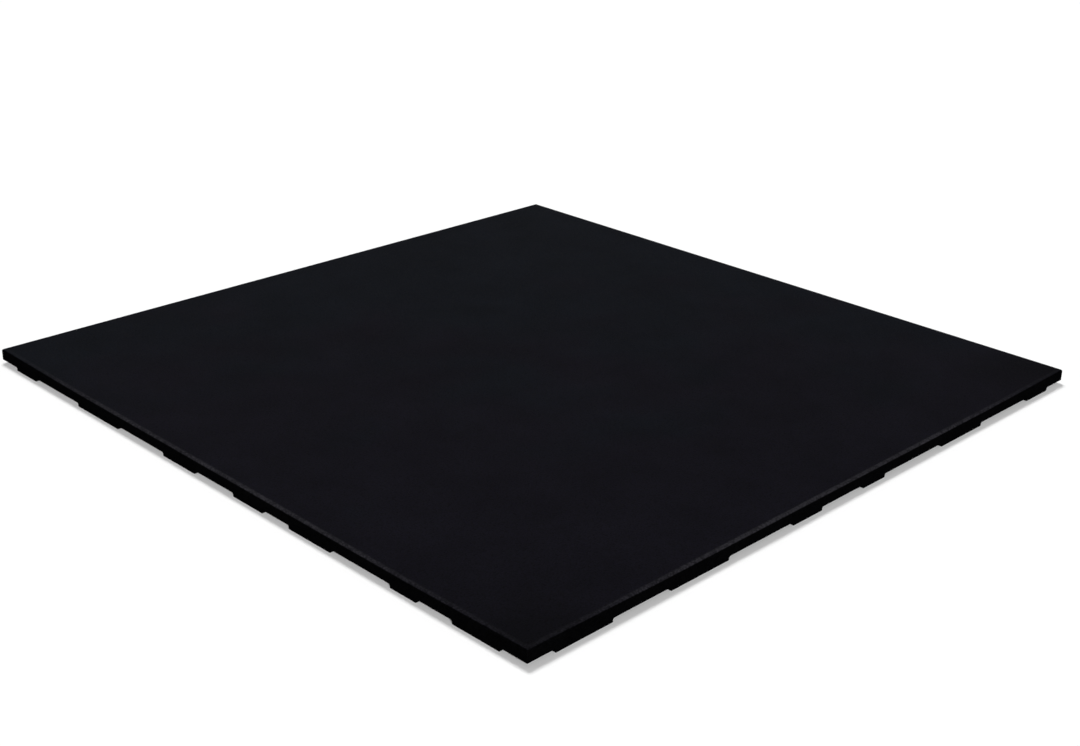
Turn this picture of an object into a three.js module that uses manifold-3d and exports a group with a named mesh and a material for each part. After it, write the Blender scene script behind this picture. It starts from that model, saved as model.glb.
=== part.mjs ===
// Rubber gym floor tile: one moulded slab of bonded rubber crumb, lying flat.
//
// Millimetres, +Z up. The origin is the middle of the tile on the floor. The walking face is
// plain, its four edges are rounded, and the underside stands on rectangular feet that are
// left between drainage channels running straight across it both ways. The two edges that
// meet at the front corner, at +X and -Y, set where the channels lie.

import * as THREE from "three";
import { mergeVertices } from "three/addons/utils/BufferGeometryUtils.js";
import Module from "manifold-3d";

// Driving dimensions, in millimetres

const tileLength = 1000; // along X
const tileWidth = 1000; // along Y
const tileThickness = 20;
const arrisRadius = 3; // the rounding of the four top edges
const channelDepth = 4.5; // how far the channels rise above the floor
const ceilingFillet = 2; // the rounding where a foot meets the ceiling of a channel
const cornerRelief = 38; // the side of the square hollow under each corner

// Each edge in turn from the front corner: a foot, then the channel beyond it. The last foot
// takes what is left before the far corner's hollow, and the order repeats on a longer tile.

const leftEdgeOrder = [
  { foot: 67, channel: 54 },
  { foot: 40, channel: 98 },
  { foot: 72, channel: 48 },
  { foot: 55, channel: 77 },
  { foot: 65, channel: 100 },
  { foot: 93, channel: 106 },
];
const rightEdgeOrder = [
  { foot: 80, channel: 87 },
  { foot: 93, channel: 112 },
  { foot: 53, channel: 80 },
  { foot: 43, channel: 122 },
  { foot: 90, channel: 113 },
];

// How finely the round edges are cut, and how far a bar passes the face that it cuts

const arrisSegments = 6;
const filletSegments = 3;
const overrun = 10;

const blackRubber = new THREE.MeshStandardMaterial({
  name: "black_rubber",
  color: new THREE.Color().setRGB(22 / 255, 21 / 255, 26 / 255, THREE.SRGBColorSpace),
  roughness: 0.85,
  metalness: 0,
});

const wasm = await Module();
wasm.setup();

// Turns a closed geometry into a solid that can be cut and joined.
function solidFrom(geometry) {
  const bare = geometry.index ? geometry.toNonIndexed() : geometry.clone();
  bare.deleteAttribute("normal");
  bare.deleteAttribute("uv");
  const merged = mergeVertices(bare, 1e-4);
  return new wasm.Manifold(
    new wasm.Mesh({
      numProp: 3,
      vertProperties: Float32Array.from(merged.attributes.position.array),
      triVerts: Uint32Array.from(merged.index.array),
    }),
  );
}

// Turns a solid back into a geometry.
function geometryFrom(solid) {
  const mesh = solid.getMesh();
  const geometry = new THREE.BufferGeometry();
  geometry.setAttribute("position", new THREE.BufferAttribute(mesh.vertProperties, mesh.numProp));
  geometry.setIndex(new THREE.BufferAttribute(mesh.triVerts, 1));
  geometry.computeVertexNormals();
  return geometry;
}

// The section of a bar with a flat foot and two rounded top corners, from one side to the
// other across it and from the bottom to the top.
function archedSection({ from, to, bottom, top, radius }) {
  const section = new THREE.Shape();
  section.moveTo(from, bottom);
  section.lineTo(to, bottom);
  section.lineTo(to, top - radius);
  section.absarc(to - radius, top - radius, radius, 0, Math.PI / 2, false);
  section.lineTo(from + radius, top);
  section.absarc(from + radius, top - radius, radius, Math.PI / 2, Math.PI, false);
  section.closePath();
  return section;
}

// A straight bar of that section along Y or X, which passes the tile at both ends.
function barAlong(axis, section, segments) {
  const length = (axis === "Y" ? tileWidth : tileLength) + 2 * overrun;
  const geometry = new THREE.ExtrudeGeometry(section, {
    depth: length,
    steps: 1,
    bevelEnabled: false,
    curveSegments: segments,
  });
  geometry.translate(0, 0, -length / 2);
  geometry.rotateX(Math.PI / 2);
  if (axis === "X") {
    geometry.rotateZ(Math.PI / 2);
  }
  return solidFrom(geometry);
}

// The slab: one rounded bar along Y and one along X, and what they share is a square tile
// whose rounded top edges meet in a mitre at sharp upright corners.
function slabSolid() {
  const heights = { bottom: 0, top: tileThickness, radius: arrisRadius };
  const acrossX = archedSection({ from: -tileLength / 2, to: tileLength / 2, ...heights });
  const acrossY = archedSection({ from: -tileWidth / 2, to: tileWidth / 2, ...heights });
  return barAlong("Y", acrossX, arrisSegments).intersect(barAlong("X", acrossY, arrisSegments));
}

// Where the channels of one edge lie, as distances from the front corner. A channel is left out
// where the far corner would keep a foot shorter than the shortest one of the order.
function channelsOf(edgeOrder, edgeLength) {
  const shortestFoot = Math.min(...edgeOrder.map(({ foot }) => foot));
  const farthestEnd = edgeLength - cornerRelief - shortestFoot;
  const channels = [];
  let footStart = cornerRelief;
  for (let turn = 0; ; turn += 1) {
    const { foot, channel } = edgeOrder[turn % edgeOrder.length];
    const start = footStart + foot;
    const end = start + channel;
    if (end > farthestEnd) {
      return channels;
    }
    channels.push({ start, end });
    footStart = end;
  }
}

// A cutter for one channel, or for the strip over two corner hollows.
function channelCutter(axis, from, to) {
  const heights = { bottom: -overrun, top: channelDepth, radius: ceilingFillet };
  return barAlong(axis, archedSection({ from, to, ...heights }), filletSegments);
}

// The hollows under the four corners: what a strip along one edge shares with a strip along
// the next one.
function cornerCutters() {
  const halfLength = tileLength / 2;
  const halfWidth = tileWidth / 2;
  const stripsAlongY = [
    channelCutter("Y", -halfLength - overrun, -halfLength + cornerRelief),
    channelCutter("Y", halfLength - cornerRelief, halfLength + overrun),
  ];
  const stripsAlongX = [
    channelCutter("X", -halfWidth - overrun, -halfWidth + cornerRelief),
    channelCutter("X", halfWidth - cornerRelief, halfWidth + overrun),
  ];
  return stripsAlongY.flatMap((strip) => stripsAlongX.map((other) => strip.intersect(other)));
}

function rubberTile() {
  let tile = slabSolid();
  for (const { start, end } of channelsOf(leftEdgeOrder, tileLength)) {
    tile = tile.subtract(channelCutter("Y", tileLength / 2 - end, tileLength / 2 - start));
  }
  for (const { start, end } of channelsOf(rightEdgeOrder, tileWidth)) {
    tile = tile.subtract(channelCutter("X", start - tileWidth / 2, end - tileWidth / 2));
  }
  for (const cutter of cornerCutters()) {
    tile = tile.subtract(cutter);
  }
  const mesh = new THREE.Mesh(geometryFrom(tile), blackRubber);
  mesh.name = "rubber_tile";
  return mesh;
}

const floorTile = new THREE.Group();
floorTile.name = "rubber_gym_floor_tile";
floorTile.add(rubberTile());

export default floorTile;
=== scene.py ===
"""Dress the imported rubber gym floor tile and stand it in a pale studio.

The real tile is one moulding of bonded black rubber crumb, so it is one piece here too. Its
outline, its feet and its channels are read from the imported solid, and what the piece adds is the
finer shape of the moulding: smooth rounded top edges, filleted channel ceilings, eased corners
and the crumb itself. Everything is in metres, +Z up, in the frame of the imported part.
"""

import logging
import math
from dataclasses import dataclass, field
from enum import Enum
from typing import Any, Iterable, Mapping, Optional, Union

import bmesh
import bpy
from mathutils import Matrix, Vector


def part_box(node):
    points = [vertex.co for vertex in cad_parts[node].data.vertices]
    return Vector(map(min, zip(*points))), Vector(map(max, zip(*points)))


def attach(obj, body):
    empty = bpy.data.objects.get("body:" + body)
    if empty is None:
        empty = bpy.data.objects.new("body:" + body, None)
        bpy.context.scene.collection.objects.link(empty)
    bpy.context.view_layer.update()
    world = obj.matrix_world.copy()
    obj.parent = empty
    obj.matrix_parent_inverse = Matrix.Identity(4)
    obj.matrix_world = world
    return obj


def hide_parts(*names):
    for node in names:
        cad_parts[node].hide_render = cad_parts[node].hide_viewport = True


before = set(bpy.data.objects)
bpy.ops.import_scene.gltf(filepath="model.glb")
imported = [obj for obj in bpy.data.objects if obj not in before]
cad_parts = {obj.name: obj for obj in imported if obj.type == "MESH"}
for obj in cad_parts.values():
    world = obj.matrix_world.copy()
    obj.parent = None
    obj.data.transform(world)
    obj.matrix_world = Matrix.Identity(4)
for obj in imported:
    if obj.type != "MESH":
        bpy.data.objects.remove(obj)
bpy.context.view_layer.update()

log = logging.getLogger("rubber_gym_floor_tile")

Colour = tuple[float, float, float, float]
Span = tuple[float, float]  # where something starts to show, and where it shows in full
MILLIMETRE = 0.001
HAIR = 0.01 * MILLIMETRE  # two places that are nearer than this are one
DECIMALS = 5  # of a metre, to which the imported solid's corners are read
TILE_NODE = "rubber_tile"
TILE_BODY = "root"


def outward(azimuth: float, elevation: float) -> Vector:
    """Give the direction from the tile to something that stands round it.

    Args:
        azimuth: degrees round the tile, 0 on the -Y side and 90 on the +X side.
        elevation: degrees above the horizon.

    Returns:
        The unit vector.
    """
    turn = math.radians(azimuth)
    rise = math.radians(elevation)
    level = math.cos(rise)
    return Vector((math.sin(turn) * level, -math.cos(turn) * level, math.sin(rise)))


def link(name: str, data: bpy.types.ID) -> bpy.types.Object:
    """Put a mesh, a light or a camera into the scene as an object.

    Args:
        name: the object's name.
        data: what the object shows.

    Returns:
        The new object, at the origin.
    """
    thing = bpy.data.objects.new(name, data)
    bpy.context.scene.collection.objects.link(thing)
    return thing


def finished_mesh(name: str, bm: bmesh.types.BMesh) -> bpy.types.Mesh:
    """Turn a bmesh into a mesh and free it.

    Args:
        name: the mesh's name.
        bm: the bmesh to write out.

    Returns:
        The new mesh.
    """
    mesh = bpy.data.meshes.new(name)
    bm.to_mesh(mesh)
    bm.free()
    return mesh


@dataclass(frozen=True)
class Signal:
    """A value that changes over a surface: a socket that takes Python's own operators."""

    sheet: "NodeSheet"
    socket: bpy.types.NodeSocket

    def _maths(self, operation: str, first: "Term", second: "Term") -> "Signal":
        """Add the Math node of one operation on two terms."""
        return self.sheet.add("ShaderNodeMath", {"operation": operation}, {0: first, 1: second})

    def __add__(self, other: "Term") -> "Signal":
        """Add a term."""
        return self._maths("ADD", self, other)

    def __radd__(self, other: "Term") -> "Signal":
        """Add this to a number."""
        return self._maths("ADD", other, self)

    def __sub__(self, other: "Term") -> "Signal":
        """Subtract a term."""
        return self._maths("SUBTRACT", self, other)

    def __rsub__(self, other: "Term") -> "Signal":
        """Subtract this from a number."""
        return self._maths("SUBTRACT", other, self)

    def __mul__(self, other: "Term") -> "Signal":
        """Multiply by a term."""
        return self._maths("MULTIPLY", self, other)

    def __rmul__(self, other: "Term") -> "Signal":
        """Multiply a number by this."""
        return self._maths("MULTIPLY", other, self)

    def __truediv__(self, other: "Term") -> "Signal":
        """Divide by a term."""
        return self._maths("DIVIDE", self, other)

    def __rtruediv__(self, other: "Term") -> "Signal":
        """Divide a number by this."""
        return self._maths("DIVIDE", other, self)

    def __abs__(self) -> "Signal":
        """Drop the sign."""
        return self.sheet.add("ShaderNodeMath", {"operation": "ABSOLUTE"}, {0: self})

    def smaller(self, other: "Term") -> "Signal":
        """Take the smaller of this and a term."""
        return self._maths("MINIMUM", self, other)

    def sibling(self, output: str) -> "Signal":
        """Give another output of the same node."""
        return Signal(self.sheet, self.socket.node.outputs[output])

    def rising(self, start: float, end: float) -> "Signal":
        """Ease from 0 to 1 while this goes from start to end.

        Args:
            start: where the result leaves 0.
            end: where it reaches 1.

        Returns:
            The eased value.
        """
        return self.sheet.add(
            "ShaderNodeMapRange",
            {"interpolation_type": "SMOOTHSTEP"},
            {"Value": self, "From Min": start, "From Max": end},
        )


Term = Union[Signal, float]


@dataclass(frozen=True)
class Spread:
    """What a number between 0 and 1 stands for: a least value, and its rise above that."""

    least: float
    rise: float

    def of(self, number: Signal) -> Signal:
        """Give the value that a number stands for."""
        return self.least + number * self.rise


class NodeSheet:
    """The nodes of one material or world, laid down one after another."""

    # The sockets of a Mix node for colours and of a Mix Shader node, whose names repeat
    COLOUR_SHARE = 0
    FIRST_COLOUR = 6
    SECOND_COLOUR = 7
    MIXED_COLOUR = 2
    SHADER_SHARE = 0
    FIRST_SHADER = 1
    SECOND_SHADER = 2

    def __init__(self, tree: bpy.types.NodeTree) -> None:
        """Start with an empty tree.

        Args:
            tree: the tree that the nodes go into.
        """
        self.tree = tree
        self.tree.nodes.clear()

    def add(
        self,
        kind: str,
        settings: Optional[Mapping[str, Any]] = None,
        values: Optional[Mapping[Union[int, str], Any]] = None,
        output: Union[int, str] = 0,
    ) -> Signal:
        """Add a node.

        Args:
            kind: the node's type.
            settings: its own settings, set first. A ramp's are its "stops".
            values: a number, a colour or a signal for each socket that is used.
            output: which of its outputs is wanted.

        Returns:
            The signal of that output.
        """
        node = self.tree.nodes.new(kind)
        for name, setting in (settings or {}).items():
            if name == "stops":
                self._set_stops(node.color_ramp, setting)
            else:
                setattr(node, name, setting)
        for key, value in (values or {}).items():
            if isinstance(value, Signal):
                self.tree.links.new(value.socket, node.inputs[key])
            else:
                node.inputs[key].default_value = value
        return Signal(self, node.outputs[output])

    @staticmethod
    def _set_stops(ramp: bpy.types.ColorRamp, stops: Iterable[tuple[float, Colour]]) -> None:
        """Give a ramp its colours.

        Args:
            ramp: the ramp of a new node.
            stops: each position with its colour, in rising order.
        """
        while len(ramp.elements) > 1:
            ramp.elements.remove(ramp.elements[-1])
        for index, (position, colour) in enumerate(stops):
            element = ramp.elements.new(position) if index else ramp.elements[0]
            element.position = position
            element.color = colour

    def mixed(self, share: Term, first: Any, second: Any, blend: str = "MIX") -> Signal:
        """Mix two colours.

        Args:
            share: how much of the second colour there is.
            first: a colour or a signal.
            second: a colour or a signal.
            blend: how the second one acts on the first.

        Returns:
            The mixed colour.
        """
        return self.add(
            "ShaderNodeMix",
            {"data_type": "RGBA", "blend_type": blend},
            {self.COLOUR_SHARE: share, self.FIRST_COLOUR: first, self.SECOND_COLOUR: second},
            output=self.MIXED_COLOUR,
        )

    def tinted(self, colour: Any, tint: Signal) -> Signal:
        """Multiply a colour by a tint or a shade."""
        return self.mixed(1.0, colour, tint, "MULTIPLY")

    def covered(self, share: Signal, under: Signal, upper: Signal) -> Signal:
        """Cover one shader with another.

        Args:
            share: how much of the upper one there is.
            under: the shader underneath.
            upper: the shader on top.

        Returns:
            The two as one shader.
        """
        return self.add(
            "ShaderNodeMixShader",
            values={self.SHADER_SHARE: share, self.FIRST_SHADER: under, self.SECOND_SHADER: upper},
        )

    def finish(self, kind: str, surface: Signal) -> None:
        """End the tree in its output node.

        Args:
            kind: the output node's type.
            surface: the shader that it shows.
        """
        end = self.tree.nodes.new(kind)
        self.tree.links.new(surface.socket, end.inputs["Surface"])


class Axis(Enum):
    """The two directions in which the tile's sides run, as the index of a coordinate."""

    ALONG_X = 0
    ALONG_Y = 1

    @property
    def normal(self) -> Vector:
        """The unit vector along this direction."""
        return Vector((1, 0, 0)) if self is Axis.ALONG_X else Vector((0, 1, 0))


@dataclass(frozen=True)
class TilePlan:
    """The sizes of the moulding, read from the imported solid.

    foot_edges holds, for each direction, where the feet start and end along the visible edge
    that runs that way, in rising order, so its entries pair up into feet.
    """

    low: Vector
    high: Vector
    channel_height: float
    ceiling_fillet: float
    arris_radius: float
    foot_edges: dict[Axis, tuple[float, ...]]

    @classmethod
    def read(cls, node: str) -> "TilePlan":
        """Take the plan from a CAD node.

        Args:
            node: the node's name.

        Returns:
            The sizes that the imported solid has.
        """
        low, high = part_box(node)
        corners = [vertex.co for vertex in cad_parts[node].data.vertices]
        middle = (low.z + high.z) / 2
        levels = sorted({round(corner.z, DECIMALS) for corner in corners})
        _, fillet_start, *_, ceiling = [level for level in levels if level < middle]
        arris_start, *_, top = [level for level in levels if level > middle]
        return cls(
            low=low,
            high=high,
            channel_height=ceiling - low.z,
            ceiling_fillet=ceiling - fillet_start,
            arris_radius=top - arris_start,
            foot_edges={
                Axis.ALONG_X: cls._edges(corners, Axis.ALONG_X, Axis.ALONG_Y, low.y, low.z),
                Axis.ALONG_Y: cls._edges(corners, Axis.ALONG_Y, Axis.ALONG_X, high.x, low.z),
            },
        )

    @staticmethod
    def _edges(
        corners: Iterable[Vector], along: Axis, across: Axis, face: float, floor: float
    ) -> tuple[float, ...]:
        """Find the feet's ends along one side face, where they stand on the floor.

        Args:
            corners: the solid's corners.
            along: the direction in which the face runs.
            across: the direction that the face is square to.
            face: where the face lies in that direction.
            floor: the height of the floor.

        Returns:
            The places along the face, in rising order.
        """
        return tuple(
            sorted(
                {
                    round(corner[along.value], DECIMALS)
                    for corner in corners
                    if abs(corner[across.value] - face) < HAIR and corner.z - floor < HAIR
                }
            )
        )

    def is_foot(self, place: Vector) -> bool:
        """Tell whether a place on the underside lies over a foot.

        Args:
            place: a point, of which only the plan counts.

        Returns:
            True over a foot, and False over a channel or a corner's hollow.
        """
        on_foot = []
        past_feet = []
        for axis, edges in self.foot_edges.items():
            passed = sum(edge < place[axis.value] for edge in edges)
            on_foot.append(passed % 2 == 1)
            past_feet.append(passed in (0, len(edges)))
        in_hollow = all(past_feet)
        return all(on or past for on, past in zip(on_foot, past_feet)) and not in_hollow


@dataclass(frozen=True)
class Grain:
    """What the crumb is like at a point of the surface."""

    granule: Signal  # the random number of its granule
    grit: Signal  # the random number of its speck of grit
    dome: Signal  # how high its granule stands there, 1 in the granule's middle
    speck: Signal  # how far off the middle of its speck is


@dataclass(frozen=True)
class Lie:
    """Where a point of the surface lies on the tile."""

    depth: Signal  # how far below the walking face
    rim: Signal  # how far in from the nearest side
    over: Signal  # how far over the rounded edge: below 0 on the walking face, above on a side
    corner: Signal  # how near to a corner, which is 1
    side: Signal  # how far from the middle towards +X


@dataclass(frozen=True)
class CrumbRubber:
    """Bonded black rubber crumb, pressed flat: granules, fine grit and small pores.

    The walking face and the underside are a faintly blue black, whose cast drifts from one side
    of the tile to the other, with painted shade that makes it blackest in the two corners at +X.
    The rounded edge between the walking face and the sides carries a painted highlight, a little
    lighter, least at the corners. The sides carry painted shade, a deeper black matt copy of the
    crumb, which ends a little way in under the tile.
    """

    high: Vector  # the highest corner of the tile, which is centred on its origin
    name: str = "black_rubber_crumb"

    # The colours, and the two casts between which the plain one wanders and drifts
    plain_colour: Colour = (0.0039, 0.0043, 0.0066, 1.0)
    # painted highlight: the lighter colour of the rounded top edge
    highlight_colour: Colour = (0.0177, 0.0170, 0.0203, 1.0)
    # painted shade: the deeper black of the sides, also mixed into two corners
    painted_shade_colour: Colour = (0.0012, 0.0012, 0.0014, 1.0)
    rosy: Colour = (1.12, 0.95, 1.02, 1.0)
    teal: Colour = (0.93, 1.04, 1.03, 1.0)
    cast_drift: tuple[float, float, float] = (-0.52, 0.38, 0.0)  # how much more teal in a metre
    cast_span: Span = (0.35, 0.68)  # from wholly rosy to wholly teal

    # How large the granules, the grit and the clouds of shade, cast and painted highlight are
    granule: float = 2.1 * MILLIMETRE
    grit: float = 0.8 * MILLIMETRE
    patch: float = 70.0 * MILLIMETRE
    cast_patch: float = 170.0 * MILLIMETRE
    highlight_cloud: float = 330.0 * MILLIMETRE
    cloud_detail: float = 3.0

    # How light each granule, speck, pore and patch is
    granule_shade: Spread = Spread(least=0.62, rise=0.50)
    grit_shade: float = 0.16
    dome_shade: Spread = Spread(least=0.55, rise=0.45)
    dome_span: Span = (0.3, 0.8)  # from a pore to the open face of a granule
    patch_shade: Spread = Spread(least=0.65, rise=0.70)

    # Where the rounded edge gets its painted highlight: over it, down it, and how much from place
    # to place
    highlight_span: Span = (-5.5 * MILLIMETRE, -2.0 * MILLIMETRE)
    highlight_end: Span = (4.0 * MILLIMETRE, 8.0 * MILLIMETRE)
    highlight_by_granule: Spread = Spread(least=0.65, rise=0.70)
    highlight_by_patch: Spread = Spread(least=0.25, rise=1.50)
    corner_fade: float = 0.85  # how much less painted highlight a corner gets
    fade_span: Span = (0.3, 1.0)

    # Where the painted shade of the sides lies: over the edge, and how far in under the tile it
    # ends
    painted_shade_span: Span = (0.9 * MILLIMETRE, 3.0 * MILLIMETRE)
    painted_shade_end: Span = (2.0 * MILLIMETRE, 16.0 * MILLIMETRE)
    shade_corner_lift: float = 2.2 * MILLIMETRE  # how much nearer to the top the sides' painted shade comes at a corner
    lift_span: Span = (0.6, 1.0)
    corner_shade: float = 0.60  # painted shade: how far the plain colour goes to the shade's black in a corner at +X
    corner_shade_span: Span = (0.72, 1.0)

    # The relief of the crumb, and how matt the crumb and the sides' painted shade are
    relief: float = 0.22 * MILLIMETRE
    granule_relief: float = 0.7
    grit_relief: float = 0.3
    crumb_roughness: Spread = Spread(least=0.60, rise=0.14)
    grit_roughness: float = 0.06
    crumb_gloss: float = 0.0145
    painted_shade_roughness: float = 1.0
    painted_shade_gloss: float = 0.0

    def make(self) -> bpy.types.Material:
        """Make the material.

        Returns:
            The material, which reads only the piece's own coordinates.
        """
        material = bpy.data.materials.new(self.name)
        material.use_nodes = True
        sheet = NodeSheet(material.node_tree)
        place = sheet.add("ShaderNodeTexCoord", output="Object")
        grain = self._grain(sheet, place)
        lie = self._lie(sheet, place)
        shade = self._shade(sheet, place, grain)
        normal = self._normal(sheet, grain)
        # the rounded edge's painted highlight, mixed into the plain colour
        highlight_share = self._painted_highlight(sheet, place, grain, lie)
        highlighted = sheet.mixed(highlight_share, self._plain(sheet, place, lie), self.highlight_colour)
        roughness = self.crumb_roughness.of(grain.granule) + grain.grit * self.grit_roughness
        crumb = sheet.add(
            "ShaderNodeBsdfPrincipled",
            values={
                "Base Color": sheet.tinted(highlighted, shade),
                "Roughness": roughness,
                "Normal": normal,
                "Specular IOR Level": self.crumb_gloss,
            },
        )
        # painted shade: a deeper black matt copy of the crumb, which covers the sides
        painted_shade = sheet.add(
            "ShaderNodeBsdfPrincipled",
            values={
                "Base Color": sheet.tinted(self.painted_shade_colour, shade),
                "Roughness": self.painted_shade_roughness,
                "Normal": normal,
                "Specular IOR Level": self.painted_shade_gloss,
            },
        )
        # where the sides' painted shade covers the crumb
        painted_shade_share = lie.over.rising(*self.painted_shade_span) * (1.0 - lie.rim.rising(*self.painted_shade_end))
        sheet.finish("ShaderNodeOutputMaterial", sheet.covered(painted_shade_share, crumb, painted_shade))
        return material

    @staticmethod
    def _cells(sheet: NodeSheet, place: Signal, size: float) -> Signal:
        """Scatter cells of one size.

        Args:
            sheet: the material's nodes.
            place: where on the piece a point lies.
            size: how far apart the cells are.

        Returns:
            The distance from the middle of the nearest cell.
        """
        return sheet.add("ShaderNodeTexVoronoi", values={"Vector": place, "Scale": 1.0 / size})

    def _cloud(self, sheet: NodeSheet, place: Signal, size: float) -> Signal:
        """Spread soft clouds of one size.

        Args:
            sheet: the material's nodes.
            place: where on the piece a point lies.
            size: how far apart the clouds are.

        Returns:
            A value that wanders about 0.5.
        """
        values = {"Vector": place, "Scale": 1.0 / size, "Detail": self.cloud_detail}
        return sheet.add("ShaderNodeTexNoise", values=values)

    @staticmethod
    def _red(sheet: NodeSheet, colour: Signal) -> Signal:
        """Take one channel of a cell's random colour as its own random number."""
        return sheet.add("ShaderNodeSeparateColor", values={"Color": colour}, output="Red")

    def _grain(self, sheet: NodeSheet, place: Signal) -> Grain:
        """Pack the granules and the grit.

        Args:
            sheet: the material's nodes.
            place: where on the piece a point lies.

        Returns:
            The crumb at that point.
        """
        granules = self._cells(sheet, place, self.granule)
        specks = self._cells(sheet, place, self.grit)
        return Grain(
            granule=self._red(sheet, granules.sibling("Color")),
            grit=self._red(sheet, specks.sibling("Color")),
            dome=1.0 - granules * granules,
            speck=specks,
        )

    def _lie(self, sheet: NodeSheet, place: Signal) -> Lie:
        """Measure where a point lies on the tile.

        Args:
            sheet: the material's nodes.
            place: where on the piece a point lies.

        Returns:
            Its place on the tile.
        """
        side = sheet.add("ShaderNodeSeparateXYZ", values={"Vector": place}, output="X")
        x = abs(side)
        y = abs(side.sibling("Y"))
        depth = self.high.z - side.sibling("Z")
        rim = (self.high.x - x).smaller(self.high.y - y)
        corner = (x / self.high.x).smaller(y / self.high.y)
        # near a corner, the sides' painted shade and the edge's painted highlight move further in
        over = depth - rim + corner.rising(*self.lift_span) * self.shade_corner_lift
        return Lie(depth, rim, over, corner, side)

    def _shade(self, sheet: NodeSheet, place: Signal, grain: Grain) -> Signal:
        """Shade the crumb, darkest in its pores.

        Args:
            sheet: the material's nodes.
            place: where on the piece a point lies.
            grain: the crumb there.

        Returns:
            The factor that the colour is multiplied by.
        """
        lit = self.granule_shade.of(grain.granule) + grain.grit * self.grit_shade
        lit = lit * self.dome_shade.of(grain.dome.rising(*self.dome_span))
        return lit * self.patch_shade.of(self._cloud(sheet, place, self.patch))

    def _normal(self, sheet: NodeSheet, grain: Grain) -> Signal:
        """Raise the granules and the grit.

        Args:
            sheet: the material's nodes.
            grain: the crumb at a point.

        Returns:
            The way that the surface faces there.
        """
        height = grain.dome * self.granule_relief + (1.0 - grain.speck) * self.grit_relief
        values = {"Strength": 1.0, "Distance": self.relief, "Height": height}
        return sheet.add("ShaderNodeBump", values=values)

    def _painted_highlight(self, sheet: NodeSheet, place: Signal, grain: Grain, lie: Lie) -> Signal:
        """Paint a highlight on the rounded edge, uneven from granule to granule and along its
        length.

        Args:
            sheet: the material's nodes.
            place: where on the piece a point lies.
            grain: the crumb there.
            lie: where that is on the tile.

        Returns:
            How much of the painted highlight's colour shows.
        """
        fade = 1.0 - lie.corner.rising(*self.fade_span) * self.corner_fade
        fade = fade * self.highlight_by_granule.of(grain.granule)
        fade = fade * self.highlight_by_patch.of(self._cloud(sheet, place, self.highlight_cloud))
        kept = 1.0 - lie.depth.rising(*self.highlight_end)
        return lie.over.rising(*self.highlight_span) * kept * fade

    def _plain(self, sheet: NodeSheet, place: Signal, lie: Lie) -> Signal:
        """Colour the plain crumb, whose cast drifts, with painted shade that makes it blackest in
        two corners.

        Args:
            sheet: the material's nodes.
            place: where on the piece a point lies.
            lie: where that is on the tile.

        Returns:
            The colour before the crumb shades it.
        """
        drift = sheet.add(
            "ShaderNodeVectorMath",
            {"operation": "DOT_PRODUCT"},
            {0: place, 1: self.cast_drift},
            output="Value",
        )
        wander = self._cloud(sheet, place, self.cast_patch) + drift
        cast = sheet.mixed(wander.rising(*self.cast_span), self.rosy, self.teal)
        plain = sheet.tinted(self.plain_colour, cast)
        # painted shade: the two corners at +X go towards the painted shade's black
        black = lie.corner.rising(*self.corner_shade_span) * lie.side.rising(0.0, self.high.x)
        return sheet.mixed(black * self.corner_shade, plain, self.painted_shade_colour)


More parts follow.
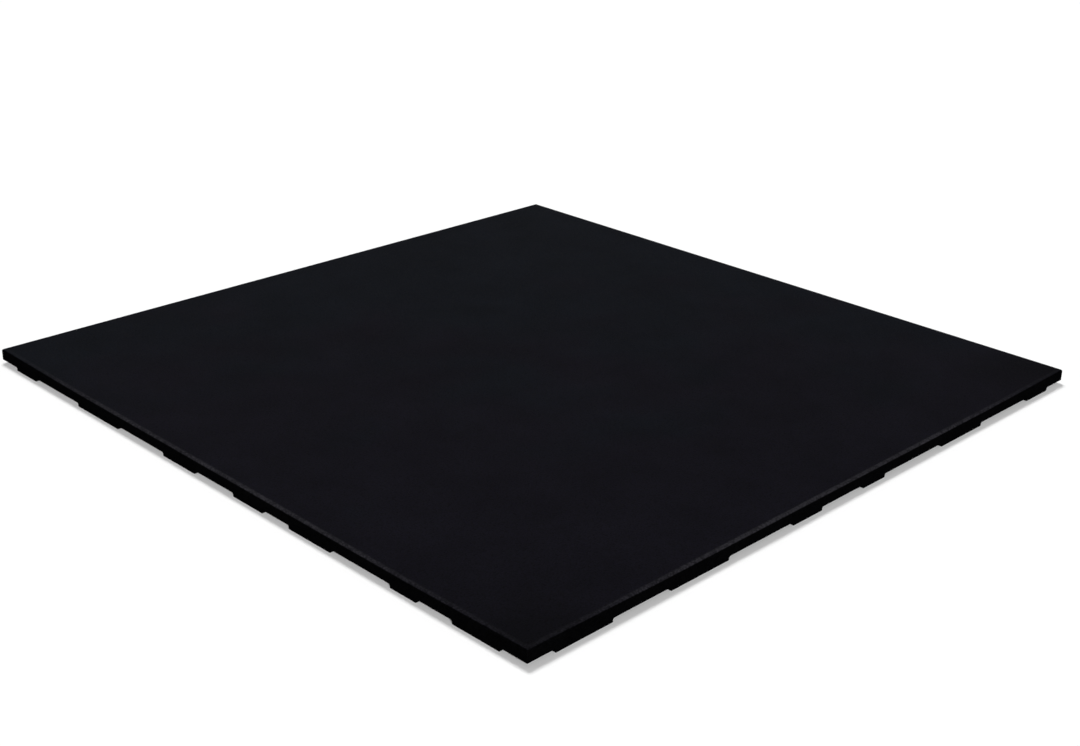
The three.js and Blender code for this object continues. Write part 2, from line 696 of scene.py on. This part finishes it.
@dataclass
class RubberTile:
    """The tile: one moulding with feet, channels and rounded edges.

    Its overall sizes come from the plan, and the fields are what it adds to them.
    """

    plan: TilePlan
    name: str = "crumb_rubber_tile"
    arris_segments: int = 12
    fillet_segments: int = 4
    easing: float = 0.5 * MILLIMETRE  # the rounding of every other corner of the moulding
    easing_segments: int = 2
    sharp_angle: float = math.radians(40)  # a foot's root turns by more than this
    soft_angle: float = math.radians(14)  # a corner is eased until it turns by less than this
    flat_angle: float = math.radians(1)  # faces that turn by less than this are one face
    bm: bmesh.types.BMesh = field(default_factory=bmesh.new)

    def build(self) -> bpy.types.Object:
        """Model and dress the whole moulding.

        Returns:
            The tile's object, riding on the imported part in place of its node.
        """
        self._lay_underside()
        self._draw_feet()
        self._raise_slab()
        self._fillet_channels()
        self._round_arrises()
        self._ease_corners()
        tile = link(self.name, finished_mesh(self.name, self.bm))
        tile.data.materials.append(CrumbRubber(high=self.plan.high).make())
        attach(tile, TILE_BODY)
        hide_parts(TILE_NODE)
        return tile

    @property
    def _ceiling(self) -> float:
        """The height of the channels' ceilings."""
        return self.plan.low.z + self.plan.channel_height

    def _lay_underside(self) -> None:
        """Lay a sheet at the height of the ceilings, cut through at every foot's edge."""
        size = self.plan.high - self.plan.low
        middle = (self.plan.high + self.plan.low) / 2
        place = Matrix.Translation((middle.x, middle.y, self._ceiling))
        stretch = Matrix.Diagonal((size.x / 2, size.y / 2, 1, 1))
        bmesh.ops.create_grid(self.bm, x_segments=1, y_segments=1, size=1, matrix=place @ stretch)
        for axis, edges in self.plan.foot_edges.items():
            for edge in edges:
                bmesh.ops.bisect_plane(
                    self.bm,
                    geom=self.bm.verts[:] + self.bm.edges[:] + self.bm.faces[:],
                    plane_co=axis.normal * edge,
                    plane_no=axis.normal,
                )

    def _draw_feet(self) -> None:
        """Draw the feet down from the sheet to the floor."""
        feet = [
            face for face in self.bm.faces if self.plan.is_foot(face.calc_center_median())
        ]
        drawn = bmesh.ops.extrude_face_region(self.bm, geom=feet)
        soles = [part for part in drawn["geom"] if isinstance(part, bmesh.types.BMVert)]
        drop = Vector((0, 0, -self.plan.channel_height))
        bmesh.ops.translate(self.bm, vec=drop, verts=soles)
        bmesh.ops.delete(self.bm, geom=feet, context="FACES")

    def _raise_slab(self) -> None:
        """Raise the slab's sides from the sheet's rim and close them with the walking face."""
        rim = [edge for edge in self.bm.edges if edge.is_boundary]
        raised = bmesh.ops.extrude_edge_only(self.bm, edges=rim)
        crown = [part for part in raised["geom"] if isinstance(part, bmesh.types.BMVert)]
        rise = Vector((0, 0, self.plan.high.z - self._ceiling))
        bmesh.ops.translate(self.bm, vec=rise, verts=crown)
        rim = [edge for edge in self.bm.edges if edge.is_boundary]
        bmesh.ops.holes_fill(self.bm, edges=rim)
        bmesh.ops.recalc_face_normals(self.bm, faces=self.bm.faces)
        self._merge_strips()

    def _merge_strips(self) -> None:
        """Merge the flat strips of each side and each sole, but not the ceiling's squares."""
        inner = [
            edge
            for edge in self.bm.edges
            if edge.calc_face_angle() < self.flat_angle
            and not all(self._in_ceiling(face) for face in edge.link_faces)
        ]
        bmesh.ops.dissolve_edges(self.bm, edges=inner, use_verts=True)

    def _in_ceiling(self, face: bmesh.types.BMFace) -> bool:
        """Tell whether a face is part of the channels' ceilings."""
        return all(abs(vert.co.z - self._ceiling) < HAIR for vert in face.verts)

    def _bevel(self, edges: list[bmesh.types.BMEdge], radius: float, segments: int) -> None:
        """Round some edges, with faces that shade as one curve between flat ones.

        Args:
            edges: the edges to round.
            radius: the radius of the rounding.
            segments: how many faces it takes to go round.
        """
        rounded = bmesh.ops.bevel(
            self.bm,
            geom=edges,
            offset=radius,
            offset_type="OFFSET",
            affect="EDGES",
            segments=segments,
            profile=0.5,
            material=-1,
            clamp_overlap=False,
        )
        for face in rounded["faces"]:
            face.smooth = True

    def _fillet_channels(self) -> None:
        """Fillet the channels, where a foot's wall meets the ceiling."""
        roots = [
            edge
            for edge in self.bm.edges
            if not edge.is_convex and edge.calc_face_angle() > self.sharp_angle
        ]
        self._bevel(roots, self.plan.ceiling_fillet, self.fillet_segments)

    def _round_arrises(self) -> None:
        """Round the edges of the walking face."""
        top = self.plan.high.z - HAIR
        arrises = [edge for edge in self.bm.edges if all(vert.co.z > top for vert in edge.verts)]
        self._bevel(arrises, self.plan.arris_radius, self.arris_segments)

    def _ease_corners(self) -> None:
        """Ease the other corners of the moulding, down to where they have faded out."""
        corners = [
            edge
            for edge in self.bm.edges
            if edge.is_convex and edge.calc_face_angle() > self.soft_angle
        ]
        self._bevel(corners, self.easing, self.easing_segments)


@dataclass(frozen=True)
class FloorPaint:
    """The plain pale paint of the studio floor."""

    name: str = "pale_floor_paint"
    albedo: float = 0.9

    def make(self) -> bpy.types.Material:
        """Make the material.

        Returns:
            An even matt white.
        """
        material = bpy.data.materials.new(self.name)
        material.use_nodes = True
        sheet = NodeSheet(material.node_tree)
        colour = (self.albedo, self.albedo, self.albedo, 1.0)
        surface = sheet.add("ShaderNodeBsdfDiffuse", values={"Color": colour})
        sheet.finish("ShaderNodeOutputMaterial", surface)
        return material


@dataclass
class StudioFloor:
    """A floor that is wide enough to fill every view."""

    paint: FloorPaint = field(default_factory=FloorPaint)
    name: str = "studio_floor"
    reach: float = 60.0  # how far it goes each way from the middle
    below: float = 0.2 * MILLIMETRE  # how far it lies under the soles, so the two don't mingle

    def build(self) -> bpy.types.Object:
        """Lay the floor.

        Returns:
            The floor's object, which isn't part of the tile.
        """
        bm = bmesh.new()
        place = Matrix.Translation((0, 0, -self.below))
        bmesh.ops.create_grid(bm, x_segments=1, y_segments=1, size=self.reach, matrix=place)
        floor = link(self.name, finished_mesh(self.name, bm))
        floor.data.materials.append(self.paint.make())
        return floor


@dataclass(frozen=True)
class SoftSun:
    """A wide soft lamp that is so far away that it lights the whole floor evenly."""

    name: str
    azimuth: float  # degrees, as outward() takes them
    elevation: float
    spread: float  # degrees across
    share: float  # how much of a white floor's brightness it gives

    def hang(self, albedo: float) -> bpy.types.Object:
        """Hang the lamp.

        Args:
            albedo: how much light the floor gives back.

        Returns:
            The lamp's object.
        """
        lamp = bpy.data.lights.new(self.name, "SUN")
        lamp.angle = math.radians(self.spread)
        lamp.energy = self.share * math.pi / (albedo * math.sin(math.radians(self.elevation)))
        hung = link(self.name, lamp)
        away = outward(self.azimuth, self.elevation)
        hung.rotation_euler = away.to_track_quat("Z", "Y").to_euler()
        return hung


@dataclass(frozen=True)
class PaleRoom:
    """The even light of the room, which is palest at the horizon."""

    name: str = "pale_room"
    share: float = 0.15  # how much of a white floor's brightness it gives
    horizon: float = 0.95  # how bright it is at the horizon
    horizon_end: float = 0.35  # the height of a unit direction where the pale band has faded

    def make(self, albedo: float) -> bpy.types.World:
        """Make the world.

        Args:
            albedo: how much light the floor gives back.

        Returns:
            The scene's world.
        """
        world = bpy.data.worlds.new(self.name)
        world.use_nodes = True
        sheet = NodeSheet(world.node_tree)
        direction = sheet.add("ShaderNodeTexCoord", output="Generated")
        height = sheet.add("ShaderNodeSeparateXYZ", values={"Vector": direction}, output="Z")
        pale = (self.horizon, self.horizon, self.horizon, 1.0)
        even = self.share / albedo
        stops = ((0.0, pale), (self.horizon_end, (even, even, even, 1.0)))
        light = sheet.add("ShaderNodeValToRGB", {"stops": stops}, {"Fac": height})
        surface = sheet.add("ShaderNodeBackground", values={"Color": light})
        sheet.finish("ShaderNodeOutputWorld", surface)
        return world


@dataclass(frozen=True)
class PhotoCamera:
    """The camera of the photograph, fitted to the outline of the tile.

    It looks past the middle of the walking face: aim_right and aim_down are how far that point
    lies from its axis, and distance is how far it lies in front of it.
    """

    name: str = "photo_camera"
    image_width: float = 1080.0  # pixels
    focal_pixels: float = 1610.5
    azimuth: float = 44.706  # degrees, as outward() takes them
    elevation: float = 22.946
    roll: float = -1.224  # degrees
    aim_right: float = -0.0093
    aim_down: float = -0.01859
    distance: float = 2.14574
    sensor_width: float = 36.0
    clip: tuple[float, float] = (0.01, 500.0)

    def build(self, middle: Vector) -> bpy.types.Object:
        """Stand the camera.

        Args:
            middle: the middle of the walking face.

        Returns:
            The camera's object.
        """
        back = outward(self.azimuth, self.elevation)
        tilt = Matrix.Rotation(math.radians(self.roll), 3, -back)
        level = Vector((0, 0, 1)).cross(back).normalized()
        right = tilt @ level
        down = tilt @ level.cross(back)
        camera = bpy.data.cameras.new(self.name)
        camera.sensor_width = self.sensor_width
        camera.lens = self.focal_pixels * self.sensor_width / self.image_width
        camera.clip_start, camera.clip_end = self.clip
        stood = link(self.name, camera)
        place = middle - right * self.aim_right - down * self.aim_down + back * self.distance
        turn = Matrix((right, -down, back)).transposed().to_4x4()
        stood.matrix_world = Matrix.Translation(place) @ turn
        return stood


@dataclass
class Studio:
    """The floor, the room, its lamps and the camera."""

    plan: TilePlan
    floor: StudioFloor = field(default_factory=StudioFloor)
    room: PaleRoom = field(default_factory=PaleRoom)
    camera: PhotoCamera = field(default_factory=PhotoCamera)
    lamps: tuple[SoftSun, ...] = (
        SoftSun("key_from_behind", azimuth=237.0, elevation=61.5, spread=17.0, share=0.51),
        SoftSun("fill_from_front", azimuth=57.0, elevation=26.0, spread=9.0, share=0.35),
    )

    def build(self) -> None:
        """Set the whole studio up round the tile."""
        scene = bpy.context.scene
        scene.view_settings.view_transform = "Standard"
        self.floor.build()
        albedo = self.floor.paint.albedo
        scene.world = self.room.make(albedo)
        for lamp in self.lamps:
            lamp.hang(albedo)
        middle = (self.plan.low + self.plan.high) / 2
        middle.z = self.plan.high.z
        scene.camera = self.camera.build(middle)


def main() -> None:
    """Build the tile and the studio."""
    plan = TilePlan.read(TILE_NODE)
    tile = RubberTile(plan).build()
    log.info("%s: %d faces", tile.name, len(tile.data.polygons))
    Studio(plan).build()
    log.info("studio: floor, room, lamps and camera")
    log.info("sizes written")


if __name__ == "__main__":
    logging.basicConfig(level=logging.INFO, format="%(name)s: %(message)s")
    main()
